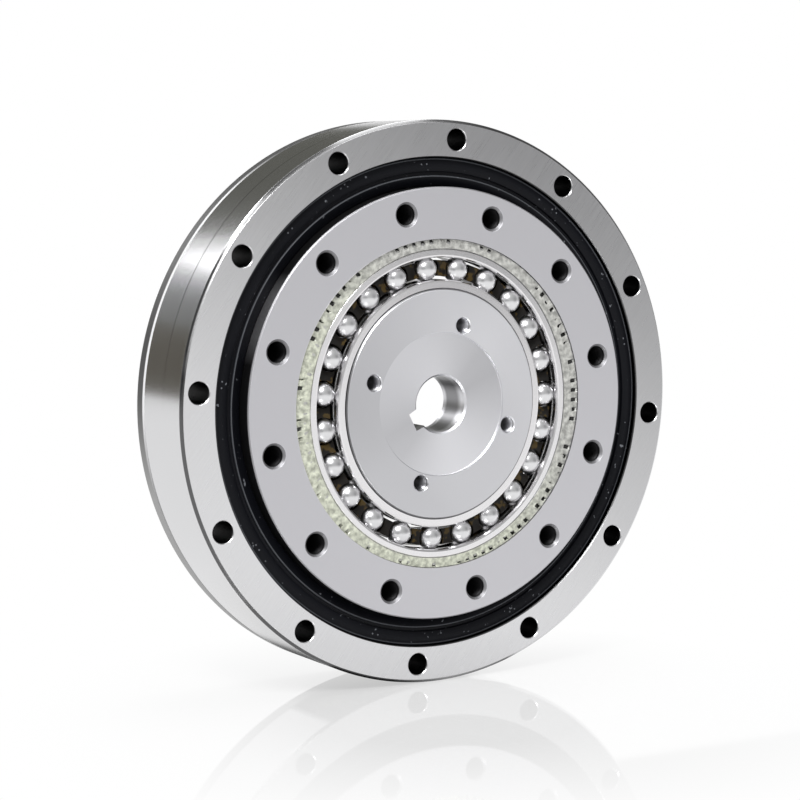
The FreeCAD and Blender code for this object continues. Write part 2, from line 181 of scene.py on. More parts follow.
class HubSizes(bpy.types.PropertyGroup):
    shoulder: length("Shoulder", "Mean radius of the shoulder behind the inner race", 18.801)
    edge: length("Edge", "Chamfer of the hub's outer edges", 0.22)
    recess: length("Recess", "Radius of the shallow recess", 11.501)
    recess_depth: length("Recess depth", "Depth of the shallow recess", 0.3)
    bore: length("Bore", "Radius of the shaft bore", 4.5)
    bore_edge: length("Bore edge", "Chamfer of the shaft bore", 0.3)
    key_width: length("Key width", "Width of the keyway", 3)
    key_depth: length("Key depth", "Depth of the keyway from the bore", 1.4)
    key_angle: heading("Key angle", "Direction of the keyway", 207.4)
    holes: number("Holes", "Number of tapped holes", 4)
    hole_circle: length("Hole circle", "Radius of the tapped holes' circle", 13.001)
    hole_radius: length("Hole radius", "Radius of the tapped holes at the thread's crest", 1.25)
    hole_lead: length("Hole lead", "Radius of the tapped holes' lead-in", 1.42)
    hole_start: heading("Hole start", "Direction of the first tapped hole", 72.4)
    thread_depth: length("Thread depth", "Depth of the thread's grooves", 0.2)
    thread_pitch: length("Thread pitch", "Pitch of the thread", 0.5)


class Finishes(bpy.types.PropertyGroup):
    ground: colour("Ground steel", "Outer ring", 0.67, 0.67, 0.68)
    output: colour("Output steel", "Output ring", 0.72, 0.715, 0.745)
    flexspline: colour("Flexspline steel", "Brim, barrel and toothed rim", 0.42, 0.42, 0.42)
    race: colour("Race steel", "Bearing races", 0.84, 0.83, 0.84)
    ball: colour("Ball steel", "Bearing balls", 0.80, 0.80, 0.81)
    hub: colour("Hub alloy", "Cam hub", 0.85, 0.85, 0.88)
    cage: colour("Cage resin", "Ball cage", 0.007, 0.0055, 0.004)
    seal: colour("Seal rubber", "Front seal", 0.006, 0.0065, 0.009)
    grease: colour("Grease", "Grease in the teeth", 0.46, 0.46, 0.435)
    plug: colour("Plug steel", "Filling plug and its pin", 0.12, 0.12, 0.07)
    screw: colour("Screw black", "Brim screws", 0.02, 0.02, 0.022)
    spacer: colour("Spacer resin", "Roller spacers", 0.62, 0.58, 0.46)


GROUPS = {
    "gear_wave": WaveSizes,
    "gear_housing": HousingSizes,
    "gear_flexspline": FlexsplineSizes,
    "gear_output": OutputSizes,
    "gear_bearing": BearingSizes,
    "gear_hub": HubSizes,
    "gear_finishes": Finishes,
}


def polar(radius, angle, height=0.0):
    """Point at an angle in radians, counted from +X towards +Y."""
    return Vector((radius * math.cos(angle), radius * math.sin(angle), height))


def spread(count, start):
    """Evenly spaced directions of a pattern, from its first one."""
    return [start + i * math.tau / count for i in range(count)]


def on_wave(wave, point, neutral, share=1.0):
    """Where a point of a round ring lies once the cam has pressed the ring oval."""
    height = wave.height * share
    angle = math.atan2(point.y, point.x)
    phase = 2 * (angle - wave.axis)
    where = angle - height / (2 * neutral) * math.sin(phase)
    lean = where + 2 * height / neutral * math.sin(phase)
    foot = polar(neutral + height * math.cos(phase), where, point.z)
    return foot + polar(math.hypot(point.x, point.y) - neutral, lean)


def press_oval(bm, wave, neutral):
    for vert in bm.verts:
        vert.co = on_wave(wave, vert.co, neutral)


def spin_line(bm, line, steps, centre=Vector(), closed=False):
    """Turn a line of (radius, height) points full circle about an axis through centre.

    It is spun in a mesh of its own, which is much faster than in a full one.
    """
    part = bmesh.new()
    verts = [part.verts.new(centre + Vector((radius, 0, height))) for radius, height in line]
    ends = verts[1:] + verts[:1] if closed else verts[1:]
    geom = verts + [part.edges.new(pair) for pair in zip(verts, ends)]
    bmesh.ops.spin(
        part, geom=geom, cent=centre, axis=(0, 0, 1), angle=math.tau, steps=steps, use_merge=True
    )
    spun = bpy.data.meshes.new("spun")
    part.to_mesh(spun)
    part.free()
    bm.from_mesh(spun)
    bpy.data.meshes.remove(spun)


def spin_holes(bm, line, circle, count, start, steps=HOLE_STEPS):
    """Turn the same hole at evenly spaced places on a circle."""
    for angle in spread(count, start):
        spin_line(bm, line, steps, polar(circle, angle))


def fill_flat(bm, height):
    """Close the flat face at a height, round all the holes that end in it.

    The mesh is filled in millimetres, because points lie too close together in metres.
    """
    edges = [
        edge
        for edge in bm.edges
        if len(edge.link_faces) < 2 and all(abs(v.co.z - height) < 1e-7 for v in edge.verts)
    ]
    bmesh.ops.scale(bm, verts=bm.verts, vec=(1000, 1000, 1000))
    bmesh.ops.triangle_fill(bm, use_beauty=True, use_dissolve=False, edges=edges, normal=(0, 0, 1))
    bmesh.ops.scale(bm, verts=bm.verts, vec=(MM, MM, MM))


def threaded_line(sizes, top, bottom, closed):
    """Section of a tapped hole from its lead-in down to its end."""
    radius, pitch = sizes.hole_radius, sizes.thread_pitch
    neck = top - (sizes.hole_lead - radius)
    line = [(sizes.hole_lead, top), (radius, neck)]
    height = neck - pitch / 2
    while height - pitch > bottom + pitch:
        line += [(radius, height), (radius + sizes.thread_depth, height - pitch / 2)]
        height -= pitch
    line += [(radius, height), (radius, bottom)]
    return line + [(0, bottom - radius * 0.3)] if closed else line


def tooth_line(bm, wave, teeth, first, tip, root, level):
    """Closed toothed line round the axis. Tip and root are heights over the pitch radius."""
    pitch_radius = wave.module * teeth / 2
    outward = 1 if tip > root else -1
    at_pitch = math.pi * wave.module / 4 - wave.backlash / 2
    side = []
    for height, taper in ((root, 0), (root * 0.8, 0.01 * MM), (tip * 0.8, 0), (tip, 0.04 * MM)):
        half = at_pitch - outward * height * math.tan(wave.flank) - taper
        side.append((pitch_radius + height, -half))
    side += [(x, -y) for x, y in reversed(side)]
    turn = Matrix.Rotation(first, 3, "Z")
    verts = [bm.verts.new(turn @ Vector((x, y, level))) for x, y in side]
    step = math.tau / teeth
    verts.append(bm.verts.new(Matrix.Rotation(step, 3, "Z") @ verts[0].co))
    geom = verts + [bm.edges.new(pair) for pair in zip(verts, verts[1:])]
    turned, steps = math.tau - step, teeth - 1
    bmesh.ops.spin(bm, geom=geom, axis=(0, 0, 1), angle=turned, steps=steps, use_duplicate=True)
    bmesh.ops.remove_doubles(bm, verts=bm.verts, dist=2e-6)


def raise_line(bm, edges, heights):
    """Pull walls up from a line of edges, one band for each height."""
    verts = {v for edge in edges for v in edge.verts}
    for height in heights:
        made = bmesh.ops.extrude_edge_only(bm, edges=edges)["geom"]
        edges = [item for item in made if isinstance(item, bmesh.types.BMEdge)]
        edges = [edge for edge in edges if not verts & set(edge.verts)]
        verts = {v for edge in edges for v in edge.verts}
        for vert in verts:
            vert.co.z = height
    return verts


def set_radius(verts, radius):
    for vert in verts:
        vert.co.xy = vert.co.xy.normalized() * radius


def make_object(name, bm, material):
    """Turn a mesh in the making into an object of the scene."""
    mesh = bpy.data.meshes.new(name)
    bm.to_mesh(mesh)
    bm.free()
    mesh.materials.append(material)
    made = bpy.data.objects.new(name, mesh)
    bpy.context.scene.collection.objects.link(made)
    return made


def finish_piece(name, bm, material, body, nodes, sharp=32.0):
    """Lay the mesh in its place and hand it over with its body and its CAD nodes."""
    bmesh.ops.remove_doubles(bm, verts=bm.verts, dist=1e-7)
    bmesh.ops.recalc_face_normals(bm, faces=bm.faces)
    bmesh.ops.transform(bm, matrix=LAY_DOWN, verts=bm.verts)
    limit = math.radians(sharp)
    for face in bm.faces:
        face.smooth = True
    for edge in bm.edges:
        edge.smooth = len(edge.link_faces) == 2 and edge.calc_face_angle() < limit
    piece = make_object(name, bm, material)
    if body:
        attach(piece, body)
    if nodes:
        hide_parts(*nodes)
    return piece


def put(value, socket):
    """Set a socket, or link it where the value comes from another node."""
    if isinstance(value, bpy.types.NodeSocket):
        socket.id_data.links.new(value, socket)
    else:
        socket.default_value = value


def add(tree, kind, inputs=None, **settings):
    """Place a shader node, with values or links on its sockets."""
    item = tree.nodes.new("ShaderNode" + kind)
    for key, value in settings.items():
        setattr(item, key, value)
    for key, value in (inputs or {}).items():
        put(value, item.inputs[key])
    return item


def work_out(kind, *values, output=0, **settings):
    """Output of a node that takes the values in order, beside the first one that is linked."""
    tree = next(value.id_data for value in values if isinstance(value, bpy.types.NodeSocket))
    return add(tree, kind, dict(enumerate(values)), **settings).outputs[output]


def maths(operation, *values, clamp=False):
    return work_out("Math", *values, operation=operation, use_clamp=clamp)


def times(first, *others):
    for other in others:
        first = maths("MULTIPLY", first, other)
    return first


def off(value, middle):
    """Distance of a value from a middle one."""
    return maths("ABSOLUTE", maths("SUBTRACT", value, middle))


def ramp(value, low, high, start=0.0, end=1.0):
    """Value that goes from start to end while the input goes from low to high."""
    return work_out("MapRange", value, low, high, start, end, clamp=True)


def rise(value, low, high, base=0.0):
    """Nought below low and one above high, both in millimetres from a base."""
    return ramp(value, base + low * MM, base + high * MM)


def fall(value, low, high, base=0.0):
    """One below low and nought above high, both in millimetres from a base."""
    return ramp(value, base + low * MM, base + high * MM, 1.0, 0.0)


def parts(place):
    return work_out("SeparateXYZ", place).node.outputs


def radius_of(place):
    """Distance of a point from the gear's axis."""
    flat = work_out("VectorMath", place, (1, 0, 1), operation="MULTIPLY")
    return work_out("VectorMath", flat, operation="LENGTH", output=1)


def towards(place, way):
    """How far a point lies in a direction."""
    return work_out("VectorMath", place, way, operation="DOT_PRODUCT", output=1)


def grain(place, scale, detail=2.0):
    sockets = {"Vector": place, "Scale": scale, "Detail": detail}
    return add(place.id_data, "TexNoise", sockets).outputs[0]


def blend_colour(share, first, second, mode="MIX"):
    sockets = {0: share, 6: first, 7: second}
    tree = next(value.id_data for value in sockets.values() if isinstance(value, bpy.types.NodeSocket))
    item = add(tree, "Mix", data_type="RGBA", blend_type=mode)
    for key, value in sockets.items():
        put(value, item.inputs[key])
    return item.outputs[2]


def shared(name, build, place, **values):
    """Output of a node group that is built once for all materials, with its inputs set."""
    group = bpy.data.node_groups.get(name)
    if not group:
        group = bpy.data.node_groups.new(name, "ShaderNodeTree")
        sockets = group.interface
        sockets.new_socket("Vector", in_out="INPUT", socket_type="NodeSocketVector")
        for key in values:
            sockets.new_socket(key, in_out="INPUT", socket_type="NodeSocketFloat")
        sockets.new_socket("Value", in_out="OUTPUT", socket_type="NodeSocketFloat")
        given = group.nodes.new("NodeGroupInput").outputs
        result = build(*given[: len(values) + 1])
        put(result, group.nodes.new("NodeGroupOutput").inputs[0])
    return add(place.id_data, "Group", {"Vector": place, **values}, node_tree=group).outputs[0]


def turned_lines(place, density):
    where = times(maths("ADD", radius_of(place), parts(place)[1]), density)
    lines = {"W": where, "Detail": 3.0}
    return add(where.id_data, "TexNoise", lines, noise_dimensions="1D").outputs[0]


def slanting_lines(place, angle, density):
    sockets = {"Vector": place, "Axis": (0, 1, 0), "Angle": angle}
    turned = add(place.id_data, "VectorRotate", sockets, rotation_type="AXIS_ANGLE").outputs[0]
    stretched = work_out("VectorMath", turned, (0.02, 0.3, 1.0), operation="MULTIPLY")
    return grain(stretched, density, 3.0)


def scattered_spots(place, scale, threshold):
    return ramp(grain(place, scale), threshold, maths("ADD", threshold, 0.05))


def turned_marks(place, density):
    """Fine rings that a lathe leaves round the gear's axis, from nought to one."""
    return ramp(shared("Turned marks", turned_lines, place, Density=density), 0.3, 0.7)


def ground_marks(place, angle, density):
    """Straight fine scratches on a flat face, from nought to one."""
    lines = shared("Ground marks", slanting_lines, place, Angle=angle, Density=density)
    return ramp(lines, 0.3, 0.7)


def specks(place, scale, threshold):
    """Scattered small spots, such as grit or dirt."""
    return shared("Specks", scattered_spots, place, Scale=scale, Threshold=threshold)


def new_material(name, tone, roughness, metallic=1.0, specular=0.5):
    """Material with its Principled shader and its Object coordinates."""
    material = bpy.data.materials.new(name)
    material.use_nodes = True
    shader = material.node_tree.nodes["Principled BSDF"]
    for key, value in (
        ("Base Color", (*tone, 1)),
        ("Roughness", roughness),
        ("Metallic", metallic),
        ("Specular IOR Level", specular),
    ):
        shader.inputs[key].default_value = value
    material.diffuse_color = (*tone, 1)
    return material, shader, add(material.node_tree, "TexCoord").outputs["Object"]


def tint(shader, tone, share, low, high):
    """Base colour that goes from low to high times the tone with a mask."""
    dark, light = [(*[c * factor for c in tone], 1) for factor in (low, high)]
    put(blend_colour(share, dark, light), shader.inputs["Base Color"])


def recolour(shader, share, tone, mode="MIX"):
    """Blend a tone over the base colour."""
    base = shader.inputs["Base Color"]
    put(blend_colour(share, base.links[0].from_socket, tone, mode), base)


def darken(shader, low, *masks):
    """Take the base colour down to a part of itself where all the masks are full."""
    recolour(shader, 1.0, ramp(times(*masks), 0.0, 1.0, 1.0, low), "MULTIPLY")


def paint_hole_shade(shader, place, face, start, end, low, reach=1.0, back=-1.0):
    """Paint shade on the walls of holes from start to end millimetres behind a face.

    It stops at a radius, and before a back face.
    """
    along = parts(place)[1]
    inside = fall(radius_of(place), -0.1, 0, reach)
    darken(shader, low, rise(along, start, end, -face), inside, fall(along, -1.2, -0.6, -back))


def relief(shader, height, millimetres, strength):
    sockets = {"Height": height, "Distance": millimetres * MM, "Strength": strength}
    put(add(shader.id_data, "Bump", sockets).outputs[0], shader.inputs["Normal"])


def turned_metal(name, tone, roughness, density, contrast):
    """Metal with the fine rings of a lathe in its tone and gloss."""
    material, shader, place = new_material(name, tone, roughness)
    marks = turned_marks(place, density)
    tint(shader, tone, marks, 1 - contrast, 1 + contrast)
    put(ramp(marks, 0.0, 1.0, roughness * 0.85, roughness * 1.15), shader.inputs["Roughness"])
    return material, shader, place


def brush_round(shader, place, amount):
    """Stretch the highlights as on a face that was turned about the gear's axis."""
    shader.inputs["Anisotropic"].default_value = amount
    across = work_out("VectorMath", place, (0, 1, 0), operation="CROSS_PRODUCT")
    space = {"vector_type": "VECTOR", "convert_from": "OBJECT", "convert_to": "WORLD"}
    put(work_out("VectorTransform", across, **space), shader.inputs["Tangent"])


def ground_steel(finishes, radius, pocket, front, edge, line):
    """Outer ring: slanting scratches on the face, turned marks, polish and a line on the rim, with
    painted shade and light on its face, chamfers, pocket, foot and holes.
    """
    material, shader, place = new_material("Ground steel", finishes.ground, 0.3, specular=0.0)
    out = radius_of(place)
    aside, along, height = parts(place)
    rim = rise(out, -0.4, -0.2, radius)
    scratches, rings = ground_marks(place, 0.9, 9000.0), turned_marks(place, 5000.0)
    tint(shader, finishes.ground, blend_colour(rim, scratches, rings), 0.96, 1.04)
    gloss = ramp(scratches, 0.0, 1.0, 0.27, 0.34), ramp(rings, 0.0, 1.0, 0.14, 0.2)
    put(blend_colour(rim, *gloss), shader.inputs["Roughness"])
    bevel = times(fall(along, -0.05, 0, edge - front), rise(out, 0, 0.05, radius - edge))
    face = fall(along, 0.02, 0.05, -front)
    lean = towards(place, (-0.6, 0, -0.8))
    near = times(fall(height, 6, 12), fall(aside, -8, 2))
    top = rise(height, 24, 29)
    middle = times(rise(height, 4, 10), fall(height, 24, 29))
    foot = times(fall(height, -40.8, -40.2), rim, near)
    # Each row says what is left of the base colour, and the masks of the zone it covers.
    for low, *masks in (
        (0.6, fall(off(along, -line), 0.1, 0.3), rim, rise(height, 0, 20)),
        # Painted shade: a thin dark crease on the front chamfer at the middle heights.
        (0.12, fall(off(along, edge * 0.7 - front), 0.12, 0.18), rim, middle),
        # Painted shade on the front chamfer at the lower left, at the top and at the right.
        (0.2, bevel, near),
        (0.3, bevel, top),
        (0.3, bevel, top, fall(height, 34, 38)),
        (0.35, bevel, rise(aside, 0, 10), rise(height, -6, 2)),
        # Painted shade on the wall of the seal pocket.
        (0.15, fall(out, 0.1, 0.2, pocket)),
        # Painted shade at the upper right of the face, and painted light at its lower left.
        (0.85, face, fall(lean, -34, 0)),
        (1.2, face, rise(lean, -5, 22)),
        # Painted shade at the foot of the rim's lower left, standing for the mirrored contact shadow.
        (0.05, foot),
    ):
        darken(shader, low, *masks)
    # The painted foot shade is matt, not metal.
    put(maths("SUBTRACT", 1.0, foot), shader.inputs["Metallic"])
    # Painted shade on the walls of the mounting holes.
    paint_hole_shade(shader, place, front, 0.15, 0.55, 0.05, radius - 1.0 * MM)
    return material


def greased_steel(name, tone, grease, band, roughness, density, contrast):
    """Steel that carries pale grease in a band of radii, thick in some directions."""
    material, shader, place = turned_metal(name, tone, roughness, density, contrast)
    out, lumps = radius_of(place), grain(place, 700.0, 3.0)
    inner, outer = band
    amount = maths("ADD", lumps, towards(place, (-24, 0, -14)))
    mask = times(ramp(amount, 0.2, 0.5), rise(out, inner, inner + 0.1), fall(out, outer - 0.1, outer))
    recolour(shader, mask, (*grease, 1))
    put(ramp(mask, 0.0, 1.0, 1.0, 0.0), shader.inputs["Metallic"])
    gloss = shader.inputs["Roughness"]
    put(blend_colour(mask, gloss.links[0].from_socket, (0.35, 0.35, 0.35, 1)), gloss)
    relief(shader, times(lumps, mask), 0.2, 0.6)
    return material, shader, place


def resin(name, tone, roughness, scale=400.0, specular=0.5):
    """Moulded plastic with a little unevenness."""
    material, shader, place = new_material(name, tone, roughness, 0.0, specular)
    tint(shader, tone, ramp(grain(place, scale, 3.0), 0.35, 0.65), 0.7, 1.4)
    return material, shader, place


class GEAR_OT_outer_ring(bpy.types.Operator):
    """Turn the outer ring, drill it and open its wall for the filling plug"""

    bl_idname = "gear.outer_ring"
    bl_label = "Outer ring"

    def execute(self, context):
        scene = context.scene
        sizes = scene.gear_housing
        back, front = back_of("outer_ring"), front_of("outer_ring")
        radius, edge, land, pocket = sizes.radius, sizes.edge, sizes.bearing_land, sizes.pocket
        middle, groove = sizes.groove_height, sizes.groove_floor - land
        hollow = front - sizes.pocket_depth
        patch = 4.4 * MM
        rows = [middle + i * patch / 4 for i in range(-4, 5)]
        outside = [(radius - edge, back), (radius, back + edge)]
        outside += [(radius, height) for height in rows]
        outside += [(radius, front - edge), (radius - edge, front)]
        inside = [(pocket + EDGE_BREAK, front), (pocket, front - EDGE_BREAK), (pocket, hollow)]
        inside += [(land, hollow), (land, middle + groove), (sizes.groove_floor, middle)]
        inside += [(land, middle - groove), (land, back)]
        hole = [(sizes.hole_radius + sizes.hole_edge, front)]
        hole += [(sizes.hole_radius, front - sizes.hole_edge), (sizes.hole_radius, back)]
        bm = bmesh.new()
        spin_line(bm, outside, RING_STEPS)
        spin_line(bm, inside, RING_STEPS)
        spin_holes(bm, hole, sizes.hole_circle, sizes.holes, sizes.hole_start, 40)
        fill_flat(bm, front)
        fill_flat(bm, back)
        self.open_plug_hole(bm, sizes, rows)
        line = back + sizes.line_height
        material = ground_steel(scene.gear_finishes, radius, pocket, front, edge, line)
        finish_piece(
            "outer_ring_machined", bm, material, "housing", ["outer_ring"]
        )
        return {"FINISHED"}

    def open_plug_hole(self, bm, sizes, rows):
        """Swap a patch of the wall for one with a round hole in it."""
        radius = sizes.radius
        middle = round(math.degrees(sizes.plug_angle))
        first, last = math.radians(middle - 7), math.radians(middle + 7)
        patch = []
        for face in bm.faces:
            centre = face.calc_center_median()
            angle = math.atan2(centre.y, centre.x) % math.tau
            if centre.xy.length > radius - 1e-5 and first < angle < last:
                if rows[0] < centre.z < rows[-1]:
                    patch.append(face)
        bmesh.ops.delete(bm, geom=patch, context="FACES")
        frame_edges = [edge for edge in bm.edges if edge.is_boundary]
        outward = polar(1, sizes.plug_angle)
        place = Matrix.Translation(polar(radius, sizes.plug_angle, sizes.groove_height))
        place = place @ outward.to_track_quat("Z", "Y").to_matrix().to_4x4()
        count = len(frame_edges)
        made = bmesh.ops.create_circle(bm, segments=count, radius=sizes.plug_radius, matrix=place)
        rim = {edge for vert in made["verts"] for edge in vert.link_edges}
        bridged = bmesh.ops.bridge_loops(bm, edges=frame_edges + list(rim))
        bmesh.ops.subdivide_edges(bm, edges=bridged["edges"], cuts=3)
        wall = [v for v in bm.verts if v.co.xy.length > radius - 0.3 * MM]
        set_radius([v for v in wall if rows[0] < v.co.z < rows[-1]], radius)
        rim = [edge for edge in bm.edges if edge.is_boundary]
        made = bmesh.ops.extrude_edge_only(bm, edges=rim)["geom"]
        inner = [item for item in made if isinstance(item, bmesh.types.BMVert)]
        bmesh.ops.translate(bm, verts=inner, vec=outward * -3 * MM)
        loop = [edge for edge in bm.edges if edge.is_boundary]
        bmesh.ops.triangle_fill(bm, use_beauty=True, edges=loop, normal=outward)


class GEAR_OT_flexspline(bpy.types.Operator):
    """Make the flexspline: brim, diaphragm, barrel and toothed rim"""

    bl_idname = "gear.flexspline"
    bl_label = "Flexspline"

    def execute(self, context):
        scene = context.scene
        wave, sizes, house = scene.gear_wave, scene.gear_flexspline, scene.gear_housing
        front, brim = front_of("bearing_outer_race"), back_of("outer_ring")
        teeth_back = front - wave.tooth_length
        steps = sizes.teeth * 8
        recess, back = sizes.recess, sizes.recess + sizes.diaphragm
        corner, bend = sizes.corner, sizes.corner * (1 - math.sqrt(0.5))
        start = back + corner
        rows = [start + i * (teeth_back - start) / 12 for i in range(13)]
        tip, root = wave.tooth_addendum, -wave.tooth_root
        bm = bmesh.new()
        tooth_line(bm, wave, sizes.teeth, wave.axis, tip, root, teeth_back)
        lip = wave.module * sizes.teeth / 2 + tip - EDGE_BREAK
        top = raise_line(bm, bm.edges[:], [front - EDGE_BREAK, front])
        set_radius([vert for vert in top if vert.co.xy.length > lip], lip)
        outside = [(sizes.barrel, height) for height in reversed(rows)]
        outside += [(sizes.barrel + bend, back + bend), (sizes.barrel + corner, back)]
        outside += [(sizes.boss - corner, back), (sizes.boss + corner, brim)]
        soft = house.edge * 0.6
        rim = [(house.radius - soft, brim), (house.radius - soft * 0.3, brim - soft * 0.3)]
        rim += [(house.radius, brim - soft), (house.radius, house.edge)]
        rim += [(house.radius - house.edge, 0.0)]
        inside = [(sizes.boss, 0.0), (sizes.boss - recess, recess)]
        inside += [(sizes.barrel + corner, recess), (sizes.bore + bend, recess + bend)]
        inside += [(sizes.bore, height) for height in rows]
        inside += [(sizes.bore, front - 0.1 * MM), (sizes.bore + 0.08 * MM, front)]
        for line in (outside, rim, inside):
            spin_line(bm, line, steps)
        hole = [(house.hole_radius, brim), (house.hole_radius, house.hole_edge)]
        hole += [(house.hole_radius + house.hole_edge, 0.0)]
        spin_holes(bm, hole, house.hole_circle, house.holes, house.hole_start)
        shank, seat = house.screw_radius, house.screw_seat
        hole = [(seat, 0.0), (shank, seat - shank), (shank, brim)]
        spin_holes(bm, hole, house.hole_circle, house.screws, house.screw_start)
        for height in (0.0, brim, teeth_back, front):
            fill_flat(bm, height)
        for vert in bm.verts:
            if vert.co.xy.length < scene.gear_output.relief and vert.co.z > start:
                share = min(1.0, (vert.co.z - start) / (teeth_back - start))
                vert.co = on_wave(wave, vert.co, sizes.bore + sizes.half_wall, share)
        tones = scene.gear_finishes
        material, shader, place = greased_steel(
            "Flexspline steel", tones.flexspline, tones.grease, (24.2, 26.2), 0.5, 7000.0, 0.04
        )
        aside, along, height = parts(place)
        # Painted shade on the upper part of the brim's rim, and a painted highlight along its front
        # edge there, pale and not metal.
        wide = rise(radius_of(place), -0.4, -0.3, house.radius)
        painted_highlight = times(fall(along, 0.2, 0.4, -brim), wide, rise(height, -14, 0), fall(height, 33, 40))
        darken(shader, 0.4, wide, rise(height, -14, 2))
        recolour(shader, painted_highlight, (0.85, 0.85, 0.86, 1))
        metal = shader.inputs["Metallic"]
        put(maths("SUBTRACT", metal.links[0].from_socket, painted_highlight, clamp=True), metal)
        piece = finish_piece(
            "flexspline_hat", bm, material, None, ["flexspline"]
        )
        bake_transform(piece)
        return {"FINISHED"}


class GEAR_OT_output_ring(bpy.types.Operator):
    """Turn the output ring, cut its teeth and tap its holes"""

    bl_idname = "gear.output_ring"
    bl_label = "Output ring"

    def execute(self, context):
        scene = context.scene
        wave, sizes, house = scene.gear_wave, scene.gear_output, scene.gear_housing
        back, front = back_of("circular_spline"), front_of("circular_spline")
        teeth_back = front_of("bearing_outer_race") - wave.tooth_length
        middle, land, relief_bore = house.groove_height, sizes.bearing_land, sizes.relief
        groove = land - sizes.groove_floor
        first = wave.axis + math.pi / sizes.teeth
        tip, root = -wave.tooth_addendum, wave.ring_root
        bm = bmesh.new()
        tooth_line(bm, wave, sizes.teeth, first, tip, root, teeth_back)
        lip = wave.module * sizes.teeth / 2 + root + 0.04 * MM
        floor = front - sizes.mouth
        set_radius(raise_line(bm, bm.edges[:], [front - sizes.runout, floor]), lip)
        mouth = [edge for edge in bm.edges if all(v.co.z > floor - 1e-6 for v in edge.verts)]
        raise_line(bm, mouth, [front])
        line = [(sizes.neck - sizes.edge, front), (sizes.neck, front - sizes.edge)]
        line += [(sizes.neck, front - sizes.neck_depth), (land, front - sizes.neck_depth)]
        line += [(land, middle + groove), (sizes.groove_floor, middle), (land, middle - groove)]
        line += [(land, back), (relief_bore, back), (relief_bore, teeth_back)]
        spin_line(bm, line, RING_STEPS)
        hole = threaded_line(sizes, front, front - sizes.hole_depth, True)
        spin_holes(bm, hole, sizes.hole_circle, sizes.holes, sizes.hole_start)
        fill_flat(bm, front)
        fill_flat(bm, teeth_back)
        tones = scene.gear_finishes
        material, shader, place = greased_steel(
            "Output steel", tones.output, tones.grease, (24.5, 26.3), 0.55, 6000.0, 0.02
        )
        # Painted shade on the lead-ins and walls of the tapped holes.
        for start, end, low in ((0.02, 0.06, 0.45), (0.25, 0.7, 0.1)):
            paint_hole_shade(shader, place, front, start, end, low, sizes.neck - 1.0 * MM)
        out, along = radius_of(place), parts(place)[1]
        # Painted shade on the output face's outer chamfer and on the neck.
        darken(shader, 0.55, rise(along, 0.02, 0.05, -front), rise(out, -0.6, -0.5, sizes.neck))
        # Painted shade darkens the neck beside the seal, all but a streak at the upper left.
        streak = fall(towards(place, (-0.9, 0, 0.43)), 33.5, 34.2)
        neck = rise(out, -0.06, -0.03, sizes.neck)
        darken(shader, 0.1, neck, rise(along, 0.3, 0.5, -front), streak)
        finish_piece(
            "output_ring_machined", bm, material, "output_ring", ["circular_spline"]
        )
        return {"FINISHED"}


class GEAR_OT_grease(bpy.types.Operator):
    """Lay the lumpy grease that stands between the two rings of teeth"""

    bl_idname = "gear.grease"
    bl_label = "Grease"

    def execute(self, context):
        scene = context.scene
        wave, rim, teeth = scene.gear_wave, scene.gear_flexspline, scene.gear_output.teeth
        front = front_of("bearing_outer_race")
        inner, neutral = rim.bore + 0.04 * MM, rim.bore + rim.half_wall
        outer = wave.module * teeth / 2 + wave.ring_root * 0.95
        pitch = math.tau / teeth
        low = front - 1.2 * MM
        line = [(inner + i * (outer - inner) / 8, front + 0.06 * MM) for i in range(9)]
        line += [(outer, low), (inner, low)]
        worn = [Vector(way) for way in ((-0.45, 0.89), (0.68, 0.47), (0.62, -0.62))]
        bm = bmesh.new()
        spin_line(bm, line, teeth * 10, closed=True)
        for vert in bm.verts:
            share = (outer - vert.co.xy.length) / (outer - inner)
            if vert.co.z > low + 1e-6:
                side = vert.co.xy.normalized()
                near = max(0.0, *(side.dot(way) for way in worn)) ** 2
                turn = (math.atan2(vert.co.y, vert.co.x) - wave.axis) / pitch % 1.0
                lump = math.cos(math.tau * turn) * math.sin(math.pi * share)
                vert.co.z += 0.06 * MM * noise.noise(vert.co * 1400)
                vert.co.z += 0.1 * MM * lump * max(0.0, -side.x)
                hollow = min(turn, 1 - turn) < 0.16 and 0.1 < share < 0.45
                if hollow and noise.noise(vert.co * 500) > 0.22 - 0.4 * near:
                    vert.co.z -= 0.6 * MM * (0.45 + 0.55 * near)
            vert.co = on_wave(wave, vert.co, neutral, share)
        material, shader, place = resin("Grease", scene.gear_finishes.grease, 0.18, 1200.0)
        # The grease is lighter and warmer towards the lower left.
        lower_left = ramp(towards(place, (1, 0, 1)), -0.015, 0.015, 1.0, 0.0)
        recolour(shader, lower_left, (1.2, 1.24, 1.08, 1), "MULTIPLY")
        # Painted shade in the deep pits of the grease.
        darken(shader, 0.04, rise(parts(place)[1], 0.12, 0.2, -front))
        relief(shader, grain(place, 1500.0), 0.3, 0.7)
        finish_piece("tooth_grease", bm, material, "wave_generator", None, 60.0)
        return {"FINISHED"}


